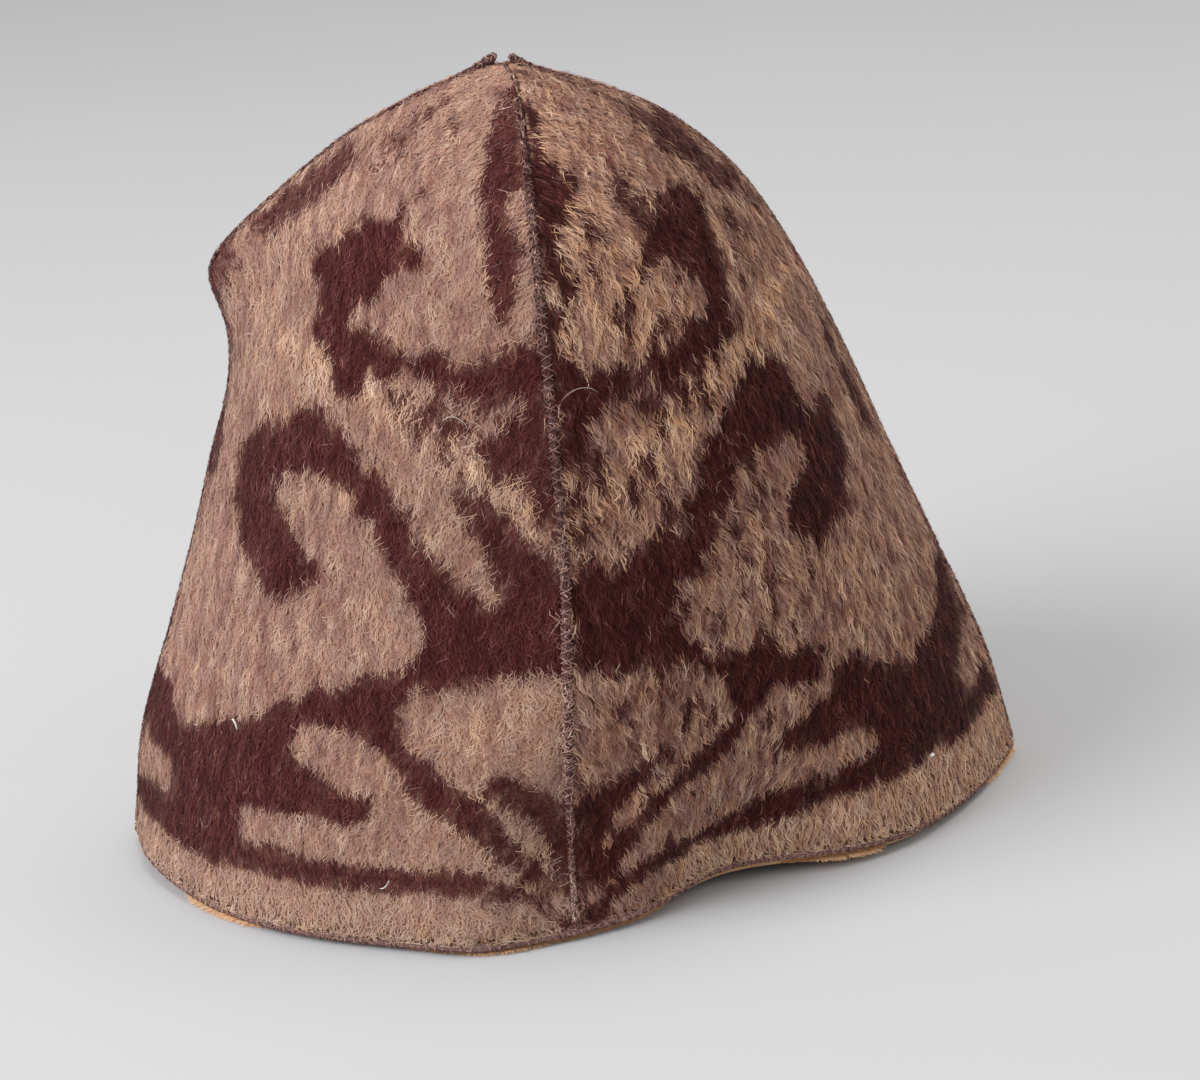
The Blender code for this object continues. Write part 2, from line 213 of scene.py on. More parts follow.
# The four gores: the solid each stands for, the angles of its middle and side seams, its charts, how
# ragged the patches' edges are, how strongly the nap hangs in locks, how curly and how warm it is, how
# high it stands, how many fibres lie flat and how many stand loose above them, how wide they are, and
# the seed of its chances
Gore = namedtuple("Gore", "name middle side patches glows flecks ragged lock curl warm loft flat loose "
                          "width seed")
GORES = (
    Gore("front_left", FRONT, LEFT, LEFT_PATCHES, LEFT_PALE_AND_LIT, LEFT_FLECKS, 3.2, 0.35, 0.8, 0.12, 0.4,
         38000, 28000, 0.20, 11),
    Gore("front_right", FRONT, RIGHT, RIGHT_PATCHES, RIGHT_PALE_AND_LIT, RIGHT_FLECKS, 4.8, 0.8, 0.45, 0.42, 1.0,
         38000, 28000, 0.22, 12),
    Gore("back_left", -BACK, LEFT, RIGHT_PATCHES, RIGHT_PALE_AND_LIT, RIGHT_FLECKS, 3.0, 0.6, 0.7, 0.2, 0.8,
         24000, 8000, 0.36, 13),
    Gore("back_right", BACK, RIGHT, LEFT_PATCHES, LEFT_PALE_AND_LIT, LEFT_FLECKS, 3.0, 0.6, 0.7, 0.2, 0.8,
         24000, 8000, 0.36, 14),
)

# Stray hairs and flecks on the two front gores: their place on the cloth, the arc they bend along,
# in millimetres and degrees, how thick they are and how bright
Stray = namedtuple("Stray", "gore x y radius start end thick tone")
STRAYS = (
    Stray("front_right", 8.0, 122.0, 6.0, 175.0, 320.0, 0.07, 0.4),
    Stray("front_left", 110.0, 218.0, 1.9, 150.0, 315.0, 0.28, 0.9),
    Stray("front_left", 57.0, 249.8, 8.0, 113.0, 144.0, 0.16, 0.9),
    Stray("front_right", 122.0, 248.0, 1.2, 30.0, 110.0, 0.55, 1.0),
    Stray("front_left", 26.0, 126.0, 4.0, 190.0, 330.0, 0.09, 0.5),
)

# How far the charted patches, flecks, and the paler stretches with painted highlight blend at their edges
EDGE_BLEND = 1.2
FLECK_BLEND = 4.0
PALE_AND_LIT_BLEND = 10.0

# The other hairs, which lie anywhere on the hat, and the fibres of the facing's raised face
HAIRS = 48
HAIR_THICK = 0.045
FACING_FIBRES = 4000

# The pile: the size of a lock, how far below the peak and above the hem it is rooted, how far above the
# hem its tips end, where along its length a fibre bends, and how a short one thins out there
LOCK_WIDE = 2.0
LOCK_LONG = 5.0
NAP_TOP = 2.0
NAP_FOOT = 3.0
NAP_END = 3.4
FIBRE_STEPS = np.array([0.0, 0.35, 0.7, 1.0])
FIBRE_TAPER = np.array([1.0, 1.0, 0.7, 0.0])

# The pile's two layers: where a fibre bends, how far its lean spreads, in degrees, how long it is and
# how much longer where it hangs in locks, how far it swings aside, how high and how unevenly it stands
Layer = namedtuple("Layer", "steps spread long longer swing high uneven")
MATTED = Layer(np.array([0.0, 0.5, 1.0]), 18.0, 3.4, 0.0, 0.3, 0.45, 0.1)
LOOSE = Layer(FIBRE_STEPS, 26.0, 3.6, 1.8, 0.85, 0.85, 0.25)

# The felted ground: how far it lies under the outline, how high its relief stands, and how wide a gore
# counts where that relief is laid out
GROUND_SINK = 0.35
RELIEF = 0.25
RELIEF_WIDTH = 150.0

# Fineness of the cloth's own meshes, of the tables that lay it out, and of a seam's middle line
CLOTH_COLUMNS = 38
CLOTH_ROWS = 64
CLOTH_START = 0.02
TABLE_COLUMNS = 181
TABLE_ROWS = 281
SEAM_POINTS = 240

# The photograph's frame and viewpoint, and in metres the place that the lamps are turned to
PHOTO_WIDTH = 1200.0
FOCAL_PIXELS = 3429.0
SENSOR_WIDTH = 36.0
CAMERA_RISE = 19.0
CAMERA_ROLL = 6.0
CAMERA_DISTANCE = 1040.0
CAMERA_AIM = (15.75, -3.6, 83.0)
LIGHT_AIM = (0.0, 0.0, 0.12)


def column(name, level):
    """One column of SECTIONS at a level from 0 at the peak to 1 at the hem, as a smooth curve."""
    values = np.array([getattr(section, name) for section in SECTIONS])
    last = len(values) - 1
    place = np.clip(level, 0.0, 1.0) * last
    low = np.minimum(place.astype(int), last - 1)
    slopes = np.gradient(values)
    step = place - low
    rise = values[low + 1] - values[low]
    start = step * (1.0 - step) ** 2 * slopes[low]
    end = step ** 2 * (step - 1.0) * slopes[low + 1]
    return values[low] + (3.0 - 2.0 * step) * step ** 2 * rise + start + end


def away(angle, centre):
    """How far an angle lies from another one, in degrees, the short way round."""
    return (angle - centre + 180.0) % 360.0 - 180.0


def hem_lift(angle):
    """How far the hem stands above the ground at an angle."""
    rise = np.zeros_like(angle)
    for lift in LIFTS:
        rise = rise + lift.rise * np.exp(-(away(angle, lift.angle) / lift.half_angle) ** 2)
    return rise


def outer_surface(angle, level):
    """Points of the hat's outside, in millimetres, for arrays of angles and levels."""
    angle, level = np.broadcast_arrays(np.asarray(angle, float), np.asarray(level, float))
    row = {name: column(name, level) for name in Section._fields}
    quarter = np.clip(np.floor((angle + 180.0) / 90.0), 0, 3)
    across = (angle + 180.0) / 90.0 - quarter
    level_ground = np.zeros_like(across)
    middle = (row["right"] - row["left"]) / 2.0
    which = [quarter == number for number in range(4)]
    start_x = np.select(which, [middle, -row["left"], row["front_x"], row["right"]])
    start_y = np.select(which, [row["back"], level_ground, -row["front"], level_ground])
    end_x = np.select(which, [-row["left"], row["front_x"], row["right"], middle])
    end_y = np.select(which, [level_ground, -row["front"], level_ground, row["back"]])
    bow = np.select(which, [row["bow_back"], row["bow_left"], row["bow_right"], row["bow_back"]])
    chord_x, chord_y = end_x - start_x, end_y - start_y
    chord = np.hypot(chord_x, chord_y)
    crown = 4.0 * across * (1.0 - across) * bow
    x = start_x + chord_x * across + chord_y / chord * crown
    y = start_y + chord_y * across - chord_x / chord * crown
    reach = np.hypot(x - middle, y)
    push = np.zeros_like(reach)
    for dent in DENTS:
        wide = away(angle, dent.angle) / dent.half_angle
        high = (row["drop"] - dent.drop) / dent.half_drop
        push = push + dent.depth * np.exp(-wide ** 2 - high ** 2)
    x = x + (x - middle) / reach * push
    y = y + y / reach * push
    z = HAT_HEIGHT - row["drop"] * (1.0 - hem_lift(angle) / HAT_HEIGHT)
    return np.stack([x + PEAK_X, y + PEAK_Y, z], axis=-1)


def unit(vectors):
    return vectors / np.maximum(np.linalg.norm(vectors, axis=-1, keepdims=True), 1e-9)


def outward(angle, level):
    """Unit normals of the outside, from small steps round and down the hat."""
    turn, slip, least = 0.6, 0.004, 0.03
    level = np.clip(level, least, 1.0 - slip)
    around = outer_surface(angle + turn, level) - outer_surface(angle - turn, level)
    down = outer_surface(angle, level + slip) - outer_surface(angle, level - slip)
    return unit(np.cross(down, around))


def level_at_rise(rise):
    """The level that lies a given height above the hem."""
    levels = np.linspace(0.0, 1.0, 2001)
    return np.interp(HAT_HEIGHT - np.asarray(rise, float), column("drop", levels), levels)


def inside_hem(angle, rise, depth):
    """Points at a height above the hem and a depth inside the outer surface, measured square to it."""
    angle, rise = np.broadcast_arrays(np.asarray(angle, float), np.asarray(rise, float))
    level = level_at_rise(np.maximum(rise, 0.0))
    points = outer_surface(angle, level)
    normal = outward(angle, level)
    flat = normal[..., :2]
    points[..., :2] -= depth * flat / np.sum(flat ** 2, axis=-1, keepdims=True)
    points[..., 2] = hem_lift(angle) + rise
    return points


def seam_trim(seam_angle, level, side):
    """How many degrees a gore stops short of a seam line, to leave room for its ridge."""
    step = 0.5
    seam = outer_surface(seam_angle, level)
    beside = outer_surface(seam_angle + side * step, level)
    return SEAM_TRIM * step / np.linalg.norm(beside - seam, axis=-1)


def between(table, left, right, top, bottom, share_x, share_y):
    """Four entries of a table, mixed by the share of the way to the right one and to the lower one."""
    upper = table[top, left] * (1.0 - share_x) + table[top, right] * share_x
    lower = table[bottom, left] * (1.0 - share_x) + table[bottom, right] * share_x
    return upper * (1.0 - share_y) + lower * share_y


def noise(x, y, size, seed):
    """Smooth patches of chance from -1 to 1, about size millimetres across."""
    lattice = np.random.default_rng(seed).uniform(-1.0, 1.0, (64, 64))
    across, down = np.asarray(x) / size, np.asarray(y) / size
    left, top = np.floor(across).astype(int), np.floor(down).astype(int)
    share_x, share_y = across - left, down - top
    share_x = share_x ** 2 * (3.0 - 2.0 * share_x)
    share_y = share_y ** 2 * (3.0 - 2.0 * share_y)
    return between(lattice, left % 64, (left + 1) % 64, top % 64, (top + 1) % 64, share_x, share_y)


def streak(x, y, wide, long, seed):
    """Patches of chance drawn out down the cloth, as brushing leaves them."""
    return noise((x - 0.2 * y) * long / wide, y, long, seed)


def signed_distance(x, y, outline):
    """Distance to a closed outline, less than nothing inside it."""
    corners = np.array(outline, float)
    nearest = np.full(x.shape, 1e9)
    inside = np.zeros(x.shape, bool)
    for start, end in zip(corners, np.roll(corners, -1, axis=0)):
        side = end - start
        share = np.clip(((x - start[0]) * side[0] + (y - start[1]) * side[1]) / (side @ side), 0.0, 1.0)
        gap = np.hypot(x - start[0] - share * side[0], y - start[1] - share * side[1])
        nearest = np.minimum(nearest, gap)
        if side[1] != 0.0:
            crosses = (start[1] > y) != (end[1] > y)
            inside ^= crosses & (x < start[0] + (y - start[1]) / side[1] * side[0])
    return np.where(inside, -nearest, nearest)


def look_up(table, across, down):
    """Reads a table between its entries; across and down count its columns and rows."""
    across = np.clip(across, 0.0, table.shape[1] - 1.001)
    down = np.clip(down, 0.0, table.shape[0] - 1.001)
    left, top = across.astype(int), down.astype(int)
    share_x, share_y = (across - left)[..., None], (down - top)[..., None]
    return between(table, left, left + 1, top, top + 1, share_x, share_y)


def lengths_along(line):
    """How far each point of a line lies from its start, along it."""
    return np.concatenate([[0.0], np.cumsum(np.linalg.norm(np.diff(line, axis=0), axis=1))])


def crisp(y):
    """The pattern's blur down the cloth: its lower stripes are cleaner than the rest."""
    return np.interp(y, [190.0, 215.0], [1.0, 0.4])


class Cloth:
    """One gore laid out flat, in millimetres from its middle seam and down its middle line."""

    def __init__(self, gore):
        self.gore = gore
        self.turn = gore.side - gore.middle
        levels = np.linspace(0.0, 1.0, 801)
        lengths = lengths_along(outer_surface(gore.middle + 0.5 * self.turn, levels))
        self.length = lengths[-1]
        self.downs = np.linspace(0.0, self.length, TABLE_ROWS)
        self.levels = np.interp(self.downs, lengths, levels)
        shares = np.linspace(1e-5, 1.0 - 1e-5, TABLE_COLUMNS)
        angles = (gore.middle + self.turn * shares)[None, :]
        self.points = outer_surface(angles, self.levels[:, None])
        self.normals = outward(angles, self.levels[:, None])
        self.widths = np.linalg.norm(np.diff(self.points, axis=1), axis=2).sum(axis=1)
        self.area = float(self.widths.mean() * self.length)
        self.slopes = np.gradient(self.widths, self.length / (TABLE_ROWS - 1)) / 2.0
        self.ink = self.chart(gore.patches)
        self.glow = self.chart(gore.glows)
        self.fleck = self.chart(gore.flecks)

    def chart(self, patches):
        """A chart as two tables, with a row and a column for each millimetre: how deep each place lies
        in its nearest patch, and that patch's ink."""
        across, down = np.meshgrid(np.arange(200.0), np.arange(290.0))
        depth, ink = np.full(across.shape, -20.0), np.zeros(across.shape)
        for patch in patches:
            inside = -signed_distance(across, down, patch.outline)
            nearer = inside > depth
            depth, ink = np.where(nearer, inside, depth), np.where(nearer, patch.ink, ink)
        return np.stack([depth, ink], axis=-1)

    def read(self, chart, x, y):
        """The depth and the ink of a chart at places of the cloth."""
        return np.moveaxis(look_up(chart, x, y), -1, 0)

    def width(self, y):
        return np.interp(y, self.downs, self.widths)

    def lean(self, y):
        """How far the nap leans from the middle seam, as it runs beside the gore's own middle line."""
        return 0.7 * np.arctan(np.interp(y, self.downs, self.slopes))

    def place(self, x, y, height):
        """Points of the hat at a place of the cloth, a height above it, with the normals there."""
        across = x / self.width(y) * (TABLE_COLUMNS - 1)
        down = y / self.length * (TABLE_ROWS - 1)
        normals = unit(look_up(self.normals, across, down))
        return look_up(self.points, across, down) + normals * height[..., None], normals

    def dark(self, x, y):
        """How dark the wool is at places of the cloth, with the ragged edges of a brushed pattern."""
        tufts = (0.6 * streak(x, y, 1.6, 5.0, 5) + 0.5 * streak(x, y, 3.5, 8.0, 6)
                 + 0.35 * streak(x, y, 0.9, 2.5, 7))
        depth, ink = self.read(self.ink, x, y)
        edge = (depth + self.gore.ragged * crisp(y) * tufts) / EDGE_BLEND
        patched = ink * np.clip(0.5 + edge, 0.0, 1.0)
        depth, ink = self.read(self.fleck, x, y)
        locks = (0.7 * streak(x, y, 1.3, 4.5, 8) + 0.6 * streak(x, y, 2.6, 7.0, 9)) / 0.38
        flecked = np.clip(0.5 + 1.6 * (locks - 1.8 * (1.0 - 2.0 * ink)), 0.0, 1.0)
        return np.maximum(patched, 0.8 * flecked * np.clip(0.5 + depth / FLECK_BLEND, 0.0, 1.0))

    def seam_ink(self, levels, share):
        """How dark the wool is along a seam, and darker near the peak, where the seams' ends meet."""
        y = np.interp(levels, self.levels, self.downs)
        return np.maximum(self.dark(share * self.width(y), y), 0.5 * np.exp(-(y / 14.0) ** 2))

    # How much paler the wool is at places of the cloth, with painted highlight in it
    def bright(self, x, y):
        depth, ink = self.read(self.glow, x, y)
        return ink * np.clip(0.5 + depth / PALE_AND_LIT_BLEND, 0.0, 1.0)


def colour(red, green, blue):
    """A colour as a renderer reads it, from the 0 to 255 of a picture."""
    parts = np.array([red, green, blue]) / 255.0
    linear = np.where(parts <= 0.04045, parts / 12.92, ((parts + 0.055) / 1.055) ** 2.4)
    return (*linear.tolist(), 1.0)


def add_node(tree, kind, **settings):
    node = tree.nodes.new(kind)
    for name, value in settings.items():
        setattr(node, name, value)
    return node


def feed(tree, socket, value):
    """Gives a node's input another node's output, or a plain value."""
    if isinstance(value, bpy.types.NodeSocket):
        tree.links.new(value, socket)
    else:
        socket.default_value = value


def add_mix(tree, share, first, second, blend="MIX"):
    """A colour mix; each of its inputs is a socket or a plain value."""
    mix = add_node(tree, "ShaderNodeMix", data_type="RGBA", blend_type=blend)
    for number, value in ((0, share), (6, first), (7, second)):
        feed(tree, mix.inputs[number], value)
    return mix.outputs[2]


def add_noise(tree, size, detail=3.0):
    """A noise on the object's own coordinates whose patches are about size millimetres across."""
    place = add_node(tree, "ShaderNodeTexCoord")
    texture = add_node(tree, "ShaderNodeTexNoise")
    texture.inputs["Scale"].default_value = 1.0 / (size * MM)
    texture.inputs["Detail"].default_value = detail
    tree.links.new(place.outputs["Object"], texture.inputs["Vector"])
    return texture.outputs["Fac"]


def add_range(tree, value, low, high, to_low=0.0, to_high=1.0):
    node = add_node(tree, "ShaderNodeMapRange")
    tree.links.new(value, node.inputs["Value"])
    for name, number in (("From Min", low), ("From Max", high), ("To Min", to_low), ("To Max", to_high)):
        node.inputs[name].default_value = number
    return node.outputs["Result"]


def new_material(name, roughness, sheen=0.0):
    material = bpy.data.materials.new(name)
    material.use_nodes = True
    shader = material.node_tree.nodes["Principled BSDF"]
    shader.inputs["Roughness"].default_value = roughness
    shader.inputs["Specular IOR Level"].default_value = 0.0
    shader.inputs["Sheen Weight"].default_value = sheen
    shader.inputs["Sheen Roughness"].default_value = 0.6
    return material, material.node_tree, shader


def add_ramp(tree, value, *stops):
    """A colour ramp; each stop is a place from 0 to 1 and a colour."""
    node = add_node(tree, "ShaderNodeValToRGB")
    tree.links.new(value, node.inputs["Fac"])
    ends = node.color_ramp.elements
    while len(ends) < len(stops):
        ends.new(0.5)
    for end, (place, shade) in zip(ends, stops):
        end.position = place
        end.color = shade
    return node.outputs["Color"]


def wool_colours():
    """The dyed wool: light and dark fibres, each from a dull to a bright tone, with painted shade towards
    their roots.
    """
    group = bpy.data.node_groups.new("wool_colours", "ShaderNodeTree")
    for name in ("Dark", "Tone", "Warm", "Along"):
        group.interface.new_socket(name, in_out="INPUT", socket_type="NodeSocketFloat")
    group.interface.new_socket("Colour", in_out="OUTPUT", socket_type="NodeSocketColor")
    entry, leave = group.nodes.new("NodeGroupInput"), group.nodes.new("NodeGroupOutput")
    tone = entry.outputs["Tone"]
    light = add_ramp(group, tone, (0.0, colour(112, 67, 65)), (0.25, colour(150, 112, 105)),
                     (0.45, colour(181, 148, 134)), (0.7, colour(214, 183, 162)),
                     (1.0, colour(246, 223, 199)))
    tan = add_mix(group, 1.0, light, colour(255, 228, 196), blend="MULTIPLY")
    light = add_mix(group, entry.outputs["Warm"], light, tan)
    dark = add_ramp(group, tone, (0.0, colour(44, 19, 20)), (0.5, colour(86, 42, 41)),
                    (1.0, colour(134, 84, 76)))
    wool = add_mix(group, entry.outputs["Dark"], light, dark)
    # Painted shade: the colour darkens towards a fibre's root, where the fibres shade each other
    root = add_mix(group, 1.0, wool, colour(218, 206, 202), blend="MULTIPLY")
    group.links.new(add_mix(group, entry.outputs["Along"], root, wool), leave.inputs["Colour"])
    return group


def attribute(tree, name):
    return add_node(tree, "ShaderNodeAttribute", attribute_name=name).outputs["Fac"]


def place_group(tree, group, **values):
    node = add_node(tree, "ShaderNodeGroup", node_tree=group)
    for name, value in values.items():
        feed(tree, node.inputs[name], value)
    return node.outputs[0]


def nap_material(group):
    material, tree, shader = new_material("blanket_nap", 0.9, sheen=0.06)
    wool = place_group(tree, group, Dark=attribute(tree, "dark"), Tone=attribute(tree, "tone"),
                       Warm=attribute(tree, "warm"), Along=attribute(tree, "along"))
    tree.links.new(wool, shader.inputs["Base Color"])
    return material


def add_bump(tree, shader, height, depth, strength=1.0):
    """A bump that is depth millimetres high."""
    bump = add_node(tree, "ShaderNodeBump")
    bump.inputs["Distance"].default_value = depth * MM
    bump.inputs["Strength"].default_value = strength
    tree.links.new(height, bump.inputs["Height"])
    tree.links.new(bump.outputs["Normal"], shader.inputs["Normal"])


def ground_material(group):
    """The felted ground under the nap: the same dye, matted, and darker with painted shade, as it lies in the
    shade between the fibres.
    """
    material, tree, shader = new_material("blanket_ground", 0.95, sheen=0.04)
    fine, coarse = add_noise(tree, 0.8), add_noise(tree, 4.0)
    # Painted shade: a low tone and patches of root shade keep the ground dark where it shows between the
    # fibres
    wool = place_group(tree, group, Dark=attribute(tree, "dark"), Warm=0.3,
                       Tone=add_range(tree, fine, 0.35, 0.65, 0.26, 0.62),
                       Along=add_range(tree, coarse, 0.3, 0.7, 0.1, 0.7))
    tree.links.new(wool, shader.inputs["Base Color"])
    add_bump(tree, shader, fine, 0.4, strength=0.8)
    return material


def thread_material(name, dull, bright, deep=(44, 26, 29)):
    """Spun thread: its tone differs from stitch to stitch, and its plies show as a fine bump."""
    material, tree, shader = new_material(name, 0.75)
    fine = add_noise(tree, 0.35)
    plain = add_mix(tree, attribute(tree, "tone"), colour(*dull), colour(*bright))
    shade = add_mix(tree, add_range(tree, fine, 0.3, 0.7, 0.0, 0.4), plain, colour(*deep))
    tree.links.new(shade, shader.inputs["Base Color"])
    add_bump(tree, shader, fine, 0.12)
    return material


def facing_material():
    """Peach flannel: a fine weave under a soft raised face."""
    material, tree, shader = new_material("peach_flannel", 0.9, sheen=0.3)
    fine, coarse = add_noise(tree, 0.6), add_noise(tree, 5.0)
    cloth = add_mix(tree, add_range(tree, coarse, 0.3, 0.7), colour(236, 178, 120), colour(246, 202, 150))
    shade = add_mix(tree, add_range(tree, fine, 0.35, 0.7, 0.0, 0.5), cloth, colour(208, 140, 88))
    tree.links.new(shade, shader.inputs["Base Color"])
    add_bump(tree, shader, fine, 0.3)
    return material


def add_object(name, data):
    thing = bpy.data.objects.new(name, data)
    bpy.context.scene.collection.objects.link(thing)
    return thing


def add_piece(name, mesh, material):
    mesh.materials.append(material)
    piece = add_object(name, mesh)
    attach(piece, "root")
    return piece


def set_values(mesh, name, values):
    layer = mesh.attributes.new(name, "FLOAT", "POINT")
    layer.data.foreach_set("value", np.ascontiguousarray(values, np.float32).ravel())


def grid_mesh(name, columns, rows, shape):
    """A grid placed by shape(across, down), both from 0 to 1, facing outwards; also gives those two."""
    form = bmesh.new()
    bmesh.ops.create_grid(form, x_segments=columns, y_segments=rows, size=1.0)
    mesh = bpy.data.meshes.new(name)
    form.to_mesh(mesh)
    form.free()
    flat = np.empty(len(mesh.vertices) * 3, np.float32)
    mesh.vertices.foreach_get("co", flat)
    across, down = (flat[0::3] + 1.0) / 2.0, (1.0 - flat[1::3]) / 2.0
    mesh.vertices.foreach_set("co", (shape(across, down) * MM).astype(np.float32).ravel())
    mesh.update()
    mesh.shade_smooth()
    return mesh, across, down


def weld(mesh):
    """Closes a grid that has gone round, where its first and last columns meet."""
    form = bmesh.new()
    form.from_mesh(mesh)
    bmesh.ops.remove_doubles(form, verts=form.verts, dist=0.01 * MM)
    form.to_mesh(mesh)
    form.free()


def array_mesh(name, points, corners, sizes):
    """A mesh of many small things from arrays: its points, its faces' corners and their sizes."""
    mesh = bpy.data.meshes.new(name)
    mesh.vertices.add(len(points))
    mesh.vertices.foreach_set("co", (points * MM).astype(np.float32).ravel())
    mesh.loops.add(len(corners))
    mesh.loops.foreach_set("vertex_index", corners.astype(np.int32))
    mesh.polygons.add(len(sizes))
    starts = np.concatenate([[0], np.cumsum(sizes)[:-1]])
    mesh.polygons.foreach_set("loop_start", starts.astype(np.int32))
    mesh.update(calc_edges=True)
    mesh.shade_smooth()
    return mesh


def make_cloth(cloth, material):
    """A gore's felted ground, from near the peak to the hem roll, with its wall."""
    gore = cloth.gore
    last = float(level_at_rise(GORE_RISE))
    side = math.copysign(1.0, cloth.turn)

    def shape(across, down):
        level = CLOTH_START + (last - CLOTH_START) * down
        start = gore.middle + side * seam_trim(gore.middle, level, side)
        end = gore.side - side * seam_trim(gore.side, level, -side)
        angle = start + (end - start) * (across if side > 0.0 else 1.0 - across)
        x = np.abs(angle - gore.middle) / 90.0 * RELIEF_WIDTH
        relief = RELIEF * noise(x, level * cloth.length, 3.0, gore.seed) - GROUND_SINK
        return outer_surface(angle, level) + outward(angle, level) * relief[:, None]

    mesh, across, down = grid_mesh("cloth_" + gore.name, CLOTH_COLUMNS, CLOTH_ROWS, shape)
    y = np.interp(CLOTH_START + (last - CLOTH_START) * down, cloth.levels, cloth.downs)
    x = (across if side > 0.0 else 1.0 - across) * cloth.width(y)
    set_values(mesh, "dark", cloth.dark(x, y))
    piece = add_piece("cloth_" + gore.name, mesh, material)
    shell = piece.modifiers.new("wall", "SOLIDIFY")
    shell.thickness = WALL * MM
    shell.offset = -1.0
    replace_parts(piece, "gore_" + gore.name)
    return piece


def add_fibres(name, paths, widths, normals, values, material, twist=0.0):
    """Fibres as thin tapered strips that end in a tip, lit as the cloth under them is. The values say
    how each fibre is coloured."""
    count, length = paths.shape[:2]
    along = unit(np.gradient(paths, axis=1))
    sides = unit(np.cross(along, normals))
    sides = sides * np.cos(twist) + np.cross(along, sides) * np.sin(twist)
    corners_each = 2 * length - 1
    half = sides * widths[..., None] / 2.0
    points = np.empty((count, corners_each, 3))
    points[:, 0:-1:2] = (paths - half)[:, :-1]
    points[:, 1::2] = (paths + half)[:, :-1]
    points[:, -1] = paths[:, -1]
    steps = 2 * np.arange(length - 2)[:, None]
    strip = np.concatenate([(steps + np.array([0, 1, 3, 2])).ravel(), 2 * length - 4 + np.arange(3)])
    corners = (np.arange(count)[:, None] * corners_each + strip).ravel()
    mesh = array_mesh(name, points.reshape(-1, 3), corners, np.tile([4] * (length - 2) + [3], count))
    for label, value in values.items():
        set_values(mesh, label, np.repeat(value, corners_each))
    rung = np.append(np.repeat(np.arange(length - 1), 2), length - 1) / (length - 1)
    # How far up each fibre a point lies, which the wool colours use to paint shade at its root
    set_values(mesh, "along", np.tile(np.minimum(rung * 1.5, 1.0), count))
    cells = math.ceil(math.sqrt(count))
    number = np.arange(count)
    cell = np.stack([number % cells, number // cells], axis=-1)[:, None, :]
    flat = np.stack([np.append(np.tile([0.2, 0.8], length - 1), 0.5), 0.1 + 0.85 * rung], axis=-1)
    layer = mesh.uv_layers.new(name="OFBake")
    layer.uv.foreach_set("vector", ((cell + flat[strip]) / cells).astype(np.float32).ravel())
    spread = np.empty((count, corners_each, 3))
    spread[:, 0:-1:2] = normals[:, :-1]
    spread[:, 1::2] = normals[:, :-1]
    spread[:, -1] = normals[:, -1]
    mesh.normals_split_custom_set_from_vertices(spread.reshape(-1, 3))
    return add_piece(name, mesh, material)


